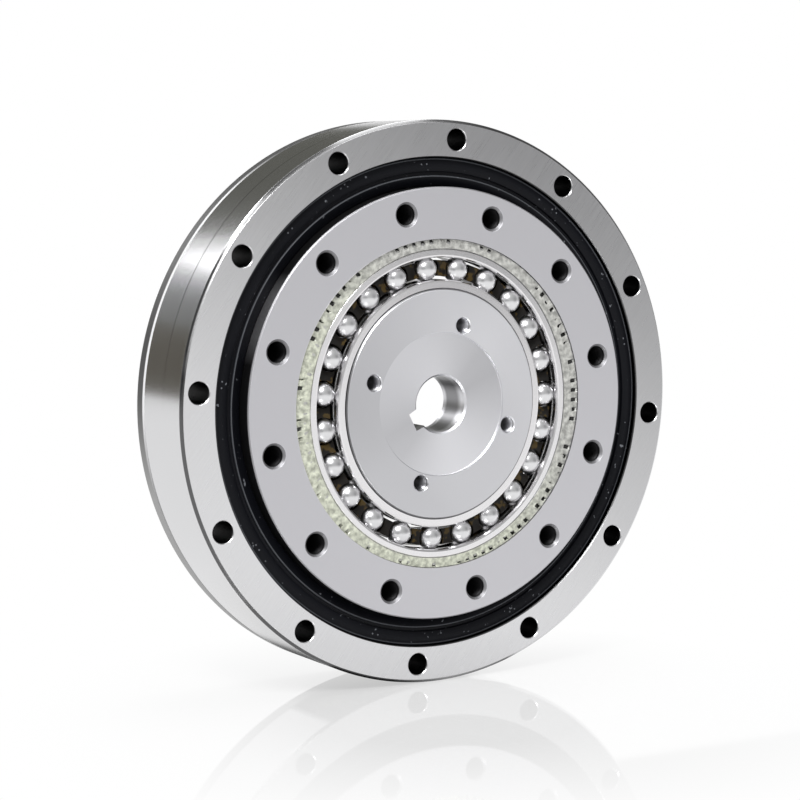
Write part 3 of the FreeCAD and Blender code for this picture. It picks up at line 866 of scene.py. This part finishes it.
class GEAR_OT_front_seal(bpy.types.Operator):
    """Mould the front seal with its lips and its pairs of pips"""

    bl_idname = "gear.front_seal"
    bl_label = "Front seal"

    def execute(self, context):
        scene = context.scene
        face, floor = front_of("front_seal"), back_of("front_seal")
        pocket = scene.gear_housing.pocket
        lip = scene.gear_output.neck + 0.05 * MM
        groove = pocket - 2.3 * MM
        waist = lip + 1.6 * MM
        line = [(pocket, floor)]
        for base, points in (
            (pocket, ((0, 0.15), (-0.15, 0))),
            (groove, ((0.1, 0), (0, 0.1), (-0.05, 0.4), (-0.55, 0.4), (-0.6, 0.1), (-0.7, 0.02))),
            (lip, ((0.1, 0.44), (0, 0.55), (0, 0.8))),
            (waist, ((0, 1.1), (0, 1.6))),
        ):
            line += [(base + aside * MM, face - depth * MM) for aside, depth in points]
        line += [(lip, floor + 0.7 * MM), (lip, floor + 0.4 * MM), (waist, floor)]
        bm = bmesh.new()
        spin_line(bm, line, RING_STEPS, closed=True)
        for angle in spread(9, math.radians(13)):
            for side in (-0.013, 0.013):
                pip = polar(pocket - 1.1 * MM, angle + side, face - 0.1 * MM)
                place = Matrix.Translation(pip)
                bmesh.ops.create_uvsphere(
                    bm, u_segments=10, v_segments=6, radius=0.22 * MM, matrix=place
                )
        tone = scene.gear_finishes.seal
        material, shader, place = new_material("Seal rubber", tone, 0.32, 0.0, 0.12)
        dust_and_highlights = specks(place, 1400.0, 0.7)
        # Painted highlights join the specks: two thin lighter lines, one near the seal face's outer
        # edge and one by its groove, and lighter tops on the pips.
        for middle in (pocket - 0.3 * MM, groove - 0.7 * MM):
            worn = off(radius_of(place), middle)
            dust_and_highlights = maths("MAXIMUM", dust_and_highlights, ramp(worn, 0.04 * MM, 0.14 * MM, 0.5, 0.0))
        proud = ramp(parts(place)[1], -face - 0.1 * MM, -face - 0.02 * MM, 0.8, 0.0)
        dust_and_highlights = maths("MAXIMUM", dust_and_highlights, proud)
        dust_and_highlight_tone = blend_colour(dust_and_highlights, (*tone, 1), (0.2, 0.21, 0.23, 1))
        put(dust_and_highlight_tone, shader.inputs["Base Color"])
        rings = shared("Turned marks", turned_lines, place, Density=4000.0)
        put(ramp(rings, 0.3, 0.7, 0.25, 0.45), shader.inputs["Roughness"])
        relief(shader, rings, 0.04, 0.4)
        finish_piece(
            "front_seal_moulded", bm, material, "housing", ["front_seal"], 50.0
        )
        return {"FINISHED"}


def race_line(land, wall, back, front, ball, side):
    """Section of a bearing race. Side is 1 for the outer race and -1 for the inner one."""
    reach = ball.ball_radius + 0.015 * MM
    edge = EDGE_BREAK
    line = [(wall, front - edge), (wall - side * edge, front), (land + side * 0.4 * MM, front)]
    line += [(land + side * 0.16 * MM, front - 0.1 * MM), (land, front - 0.4 * MM)]
    for degrees in (28, 14, 0, -14, -28):
        turn = math.radians(degrees)
        radius = ball.ball_circle + side * reach * math.cos(turn)
        line.append((radius, ball.ball_height + reach * math.sin(turn)))
    line += [(land, back + edge), (land + side * edge, back)]
    line += [(wall - side * edge, back), (wall, back + edge)]
    return line


class GEAR_OT_races(bpy.types.Operator):
    """Make the two thin bearing races and press them oval"""

    bl_idname = "gear.races"
    bl_label = "Bearing races"

    def execute(self, context):
        scene = context.scene
        wave, sizes = scene.gear_wave, scene.gear_bearing
        back, front = back_of("bearing_outer_race"), front_of("bearing_outer_race")
        material = turned_metal("Race steel", scene.gear_finishes.race, 0.2, 8000.0, 0.04)[0]
        for name, node, land, wall, side in (
            ("outer_race_ground", "bearing_outer_race", sizes.outer_shoulder, sizes.outer, 1),
            ("inner_race_ground", "bearing_inner_race", sizes.inner_shoulder, sizes.inner, -1),
        ):
            bm = bmesh.new()
            spin_line(bm, race_line(land, wall, back, front, sizes, side), OVAL_STEPS, closed=True)
            press_oval(bm, wave, (land + wall) / 2)
            finish_piece(name, bm, material, "wave_generator", [node], 18.0)
        return {"FINISHED"}


class GEAR_OT_balls(bpy.types.Operator):
    """Set the polished balls on the oval ball circle"""

    bl_idname = "gear.balls"
    bl_label = "Bearing balls"

    def execute(self, context):
        scene = context.scene
        wave, sizes = scene.gear_wave, scene.gear_bearing
        material = new_material("Ball steel", scene.gear_finishes.ball, 0.3)[0]
        circle, size = sizes.ball_circle, sizes.ball_radius
        for i in range(sizes.balls):
            angle = sizes.ball_start - i * math.tau / sizes.balls
            centre = on_wave(wave, polar(circle, angle, sizes.ball_height), circle)
            place = Matrix.Translation(centre)
            bm = bmesh.new()
            bmesh.ops.create_uvsphere(bm, u_segments=40, v_segments=20, radius=size, matrix=place)
            node = f"ball_{i + 1:02d}"
            finish_piece("polished_" + node, bm, material, "ball_set", [node], 60.0)
        return {"FINISHED"}


class GEAR_OT_ball_cage(bpy.types.Operator):
    """Mould the crown cage: a base ring and a waisted finger between each two balls"""

    bl_idname = "gear.ball_cage"
    bl_label = "Ball cage"

    def execute(self, context):
        scene = context.scene
        wave, sizes = scene.gear_wave, scene.gear_bearing
        back, front = back_of("ball_cage"), front_of("ball_cage")
        mid, half, top = sizes.ball_circle, sizes.cage_half, back + sizes.cage_base
        foot = back + 0.1 * MM
        pocket = sizes.ball_radius + sizes.cage_play
        half_pitch = math.pi * mid / sizes.balls
        waist = []
        for i in range(-4, 5):
            x = half * i / 4
            waist.append((x, half_pitch - math.sqrt(pocket**2 - x**2)))
        outline = waist + [(x, -y) for x, y in reversed(waist)]
        base = [(mid + half, back), (mid + half, top), (mid - half, top), (mid - half, back)]
        bm = bmesh.new()
        spin_line(bm, base, 230, closed=True)
        for i in range(sizes.balls):
            angle = sizes.ball_start - (i + 0.5) * math.tau / sizes.balls
            turn = Matrix.Rotation(angle, 3, "Z")
            verts = [bm.verts.new(turn @ Vector((mid + x, y, foot))) for x, y in outline]
            face = bm.faces.new(verts)
            made = bmesh.ops.extrude_face_region(bm, geom=[face])["geom"]
            raised = [item for item in made if isinstance(item, bmesh.types.BMVert)]
            bmesh.ops.translate(bm, verts=raised, vec=(0, 0, front - foot))
            rim = [item for item in made if isinstance(item, bmesh.types.BMEdge)]
            round_off = {"affect": "EDGES", "offset_type": "OFFSET", "profile": 0.5, "material": -1}
            bmesh.ops.bevel(bm, geom=rim, offset=0.12 * MM, segments=2, **round_off)
        press_oval(bm, wave, mid)
        material, shader, place = resin("Cage resin", scene.gear_finishes.cage, 0.3, specular=0.2)
        recolour(shader, specks(place, 650.0, 0.56), (0.07, 0.045, 0.012, 1))
        finish_piece("ball_cage_moulded", bm, material, "ball_set", ["ball_cage"])
        return {"FINISHED"}


class GEAR_OT_cam_hub(bpy.types.Operator):
    """Turn the oval cam hub with its recess, keyed bore and tapped holes"""

    bl_idname = "gear.cam_hub"
    bl_label = "Cam hub"

    def execute(self, context):
        scene = context.scene
        sizes, radius = scene.gear_hub, scene.gear_bearing.inner
        back, front = back_of("cam_hub"), front_of("cam_hub")
        step = back_of("bearing_inner_race")
        floor = front - sizes.recess_depth
        edge, shoulder, recess = sizes.edge, sizes.shoulder, sizes.recess
        land = sizes.hole_circle + sizes.hole_lead + 0.6 * MM
        outside = [(shoulder - edge, back), (shoulder, back + edge), (shoulder, step)]
        outside += [(radius, step), (radius, front - edge), (radius - edge, front), (land, front)]
        bm = bmesh.new()
        spin_line(bm, outside, OVAL_STEPS)
        press_oval(bm, scene.gear_wave, radius)
        inside = [(recess, front), (recess - 0.05 * MM, floor + 0.1 * MM)]
        spin_line(bm, inside + [(recess - EDGE_BREAK, floor)], RING_STEPS // 2)
        hole = threaded_line(sizes, front, back, False)
        spin_holes(bm, hole, sizes.hole_circle, sizes.holes, sizes.hole_start)
        self.cut_keyed_bore(bm, sizes, back, floor)
        for height in (back, floor, front):
            fill_flat(bm, height)
        tone = scene.gear_finishes.hub
        material, shader, place = turned_metal("Hub alloy", tone, 0.34, 9000.0, 0.03)
        brush_round(shader, place, 0.6)
        # Painted shade in the tapped holes.
        paint_hole_shade(shader, place, floor, 1.2, 2.4, 0.4, back=back)
        out = radius_of(place)
        # Painted shade: a dark line on the hub's chamfer and wall beside the inner race.
        darken(shader, 0.3, rise(parts(place)[1], 0.03, 0.06, -front), rise(out, 16, 16.5))
        # Painted sheen: the turned recess is darkened but along one diameter, and the land round it is
        # darkened towards the lower left.
        flat = work_out("VectorMath", place, (1, 0, 1), operation="MULTIPLY")
        way = work_out("VectorMath", flat, operation="NORMALIZE")
        inner = fall(out, -0.1, 0, recess)
        wedge = ramp(off(towards(way, (0.6, 0, -0.8)), 0.0), 0.2, 1.0, 1.0, 0.0)
        darken(shader, 0.74, wedge, inner)
        lean = fall(towards(place, (0.7, 0, 0.7)), -12, 12)
        darken(shader, 0.75, lean, maths("SUBTRACT", 1.0, inner))
        finish_piece("cam_hub_machined", bm, material, "wave_generator", ["cam_hub"])
        return {"FINISHED"}

    def cut_keyed_bore(self, bm, sizes, back, floor):
        """Wall of the shaft bore, with its square keyway and a chamfer at the recess."""
        half, count = sizes.key_width / 2, 64
        mouth = math.asin(half / sizes.bore)
        swing = (math.tau - 2 * mouth) / count
        first = sizes.key_angle + mouth
        arc = [polar(sizes.bore, first + i * swing, back) for i in range(count + 1)]
        turn = Matrix.Rotation(sizes.key_angle, 3, "Z")
        depth = sizes.bore + sizes.key_depth
        corners = [turn @ Vector((depth, y, back)) for y in (-half, half)]
        verts = [bm.verts.new(point) for point in arc + corners]
        edges = [bm.edges.new(pair) for pair in zip(verts, verts[1:] + verts[:1])]
        top = raise_line(bm, edges, [floor - sizes.bore_edge, floor])
        round_part = [vert for vert in top if vert.co.xy.length < sizes.bore + 1e-6]
        set_radius(round_part, sizes.bore + sizes.bore_edge)


class GEAR_OT_small_pieces(bpy.types.Operator):
    """Finish the plug, its pin, the screws, the rollers and their spacers"""

    bl_idname = "gear.small_pieces"
    bl_label = "Plug, screws and rollers"

    def execute(self, context):
        tones = context.scene.gear_finishes
        plug = resin("Plug steel", tones.plug, 0.5, specular=0.1)[0]
        roller = turned_metal("Bearing steel", tones.race, 0.15, 5000.0, 0.03)[0]
        screw = resin("Screw black", tones.screw, 0.4)[0]
        spacer = resin("Spacer resin", tones.spacer, 0.5)[0]
        for node, material in (
            ("roller_plug", plug),
            ("plug_pin", plug),
            ("flange_screws", screw),
            ("rollers_leaning_in", roller),
            ("rollers_leaning_out", roller),
            ("roller_spacers", spacer),
        ):
            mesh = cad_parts[node].data
            mesh.materials.clear()
            mesh.materials.append(material)
        return {"FINISHED"}


def hang_sheet(name, place, material):
    """Put a flat square of one metre on the stage, moved and stretched by a matrix."""
    bm = bmesh.new()
    bmesh.ops.create_grid(bm, x_segments=1, y_segments=1, size=0.5)
    bmesh.ops.transform(bm, verts=bm.verts, matrix=place)
    sheet = make_object(name, bm, material)
    return sheet


class GEAR_OT_stage(bpy.types.Operator):
    """Set the floor, the lamps, the dark cards and the camera"""

    bl_idname = "gear.stage"
    bl_label = "Studio"

    def execute(self, context):
        scene = context.scene
        scene.view_settings.view_transform = "Standard"
        self.set_world(scene)
        self.lay_floor()
        self.hang_cards()
        self.set_lamps(scene)
        self.set_camera(scene)
        return {"FINISHED"}

    def set_world(self, scene):
        world = bpy.data.worlds.new("Studio")
        scene.world = world
        world.use_nodes = True
        tree = world.node_tree
        tree.nodes.clear()
        path = add(tree, "LightPath").outputs
        seen = maths("MAXIMUM", path["Is Camera Ray"], path["Is Transmission Ray"])
        white = add(tree, "Background", {"Color": (1, 1, 1, 1), "Strength": 1.0}).outputs[0]
        soft = add(tree, "Background", {"Color": (1, 1, 1, 1), "Strength": 0.5}).outputs[0]
        both = work_out("MixShader", seen, soft, white)
        add(tree, "OutputWorld", {"Surface": both})

    def lay_floor(self):
        """Pale glossy floor, bright to the camera, with painted shade for glossy rays where the gear's
        foot is mirrored.
        """
        material, shader, place = new_material("Floor", (0.8, 0.8, 0.8), 0.03, 0.35)
        tree = material.node_tree
        path = add(tree, "LightPath").outputs
        aside, along, height = parts(place)
        # Painted contact shade: glossy rays see the floor nearly black in a strip under the gear's
        # foot.
        under = times(fall(off(aside, 0.0), 15.5, 19), rise(along, -18, -14))
        tone = ramp(times(under, path["Is Glossy Ray"]), 0.0, 1.0, 1.0, 0.04)
        put(times(tone, 0.8), shader.inputs["Base Color"])
        glow = add(tree, "Emission", {"Color": tone, "Strength": 1.0}).outputs[0]
        shadow = (-0.01, -0.035, -0.045)
        away = work_out("VectorMath", place, shadow, operation="DISTANCE", output=1)
        seen = maths("MAXIMUM", path["Is Camera Ray"], path["Is Glossy Ray"])
        seen = maths("MAXIMUM", seen, path["Is Transmission Ray"])
        share = times(seen, ramp(away, 0.022, 0.07, 0.55, 1.0))
        both = work_out("MixShader", share, shader.outputs[0], glow)
        put(both, tree.nodes["Material Output"].inputs["Surface"])
        level = Matrix.Translation((0, 0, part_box("outer_ring")[0][2]))
        hang_sheet("floor", level @ Matrix.Diagonal((6, 6, 1, 1)), material)

    def hang_cards(self):
        """Upright cards, light and dark, that only show as reflections in the metal."""
        behind, before = 0.8, -0.7
        for name, depth, left, right, low, high, tone in (
            ("card_back_low", behind, -0.28, 1.30, -0.04, 0.225, (1.0, 1.0, 1.0)),
            ("card_back_high", behind, -0.175, 0.46, 0.23, 0.75, (0.125, 0.125, 0.11)),
            ("card_back_gap", behind, -0.205, -0.18, 0.30, 0.75, (1.0, 1.0, 1.0)),
            ("card_back_step", behind, -0.255, -0.205, 0.30, 0.75, (0.55, 0.55, 0.56)),
            ("card_back_strip", behind, -0.50, -0.26, 0.362, 0.75, (5.0, 5.0, 5.0)),
            ("card_left_upper", behind, -0.90, -0.26, 0.285, 0.355, (0.36, 0.36, 0.38)),
            ("card_left_middle", behind, -0.90, -0.26, 0.185, 0.285, (0.20, 0.205, 0.20)),
            ("card_left_lower", behind, -0.90, -0.30, -0.035, 0.185, (0.11, 0.10, 0.08)),
            ("card_front_right", before, 0.37, 1.10, -0.04, 0.50, (0.30, 0.30, 0.305)),
            ("card_front_left", before, -1.70, -0.36, -0.04, 0.20, (0.12, 0.12, 0.13)),
        ):
            material = bpy.data.materials.new(name)
            material.use_nodes = True
            tree = material.node_tree
            tree.nodes.clear()
            glow = add(tree, "Emission", {"Color": (*tone, 1), "Strength": 1.0})
            add(tree, "OutputMaterial", {"Surface": glow.outputs[0]})
            place = Matrix.Translation(((left + right) / 2, depth, (low + high) / 2))
            place = place @ Matrix.Rotation(math.pi / 2, 4, "X")
            place = place @ Matrix.Diagonal((right - left, high - low, 1, 1))
            card = hang_sheet(name, place, material)
            card.visible_camera = False
            card.visible_diffuse = False
            card.visible_shadow = False

    def set_lamps(self, scene):
        for name, place, size, power in (
            ("key_lamp", (-0.50, -0.52, 0.85), 0.35, 9.0),
            ("top_lamp", (0.2, 0.1, 1.2), 0.6, 5.0),
        ):
            data = bpy.data.lights.new(name, "AREA")
            data.shape = "SQUARE"
            data.size = size
            data.energy = power
            lamp = bpy.data.objects.new(name, data)
            lamp.location = place
            aim = Vector((0, -0.008, 0)) - Vector(place)
            lamp.rotation_euler = aim.to_track_quat("-Z", "Y").to_euler()
            lamp.visible_camera = False
            scene.collection.objects.link(lamp)

    def set_camera(self, scene):
        turn, climb, distance = math.radians(-31.327), math.radians(5.523), 0.3761
        flat = math.cos(climb)
        away = Vector((math.sin(turn) * flat, -math.cos(turn) * flat, math.sin(climb)))
        data = bpy.data.cameras.new("camera")
        data.sensor_width = 36.0
        data.lens = 106.12
        data.shift_x = -0.0467
        data.shift_y = 0.0043
        data.clip_start = 0.01
        camera = bpy.data.objects.new("camera", data)
        camera.location = Vector((0, -0.0162, 0)) + away * distance
        camera.rotation_euler = (-away).to_track_quat("-Z", "Y").to_euler()
        scene.collection.objects.link(camera)
        scene.camera = camera


OPERATORS = (
    GEAR_OT_outer_ring,
    GEAR_OT_flexspline,
    GEAR_OT_output_ring,
    GEAR_OT_grease,
    GEAR_OT_front_seal,
    GEAR_OT_races,
    GEAR_OT_balls,
    GEAR_OT_ball_cage,
    GEAR_OT_cam_hub,
    GEAR_OT_small_pieces,
    GEAR_OT_stage,
)


class GEAR_PT_pieces(bpy.types.Panel):
    """Lists the gear's pieces and its studio"""

    bl_label = "Strain wave gear"
    bl_idname = "GEAR_PT_pieces"
    bl_space_type = "VIEW_3D"
    bl_region_type = "UI"
    bl_category = "Gear"

    def draw(self, context):
        for operator in OPERATORS:
            self.layout.operator(operator.bl_idname)


def register():
    for name, group in GROUPS.items():
        bpy.utils.register_class(group)
        setattr(bpy.types.Scene, name, bpy.props.PointerProperty(type=group))
    for item in (*OPERATORS, GEAR_PT_pieces):
        bpy.utils.register_class(item)


def unregister():
    for item in reversed((*OPERATORS, GEAR_PT_pieces)):
        bpy.utils.unregister_class(item)
    for name, group in GROUPS.items():
        delattr(bpy.types.Scene, name)
        bpy.utils.unregister_class(group)


def main():
    register()
    bpy.ops.gear.outer_ring()
    bpy.ops.gear.flexspline()
    bpy.ops.gear.output_ring()
    bpy.ops.gear.grease()
    bpy.ops.gear.front_seal()
    bpy.ops.gear.races()
    bpy.ops.gear.balls()
    bpy.ops.gear.ball_cage()
    bpy.ops.gear.cam_hub()
    bpy.ops.gear.small_pieces()
    bpy.ops.gear.stage()


if __name__ == "__main__":
    main()
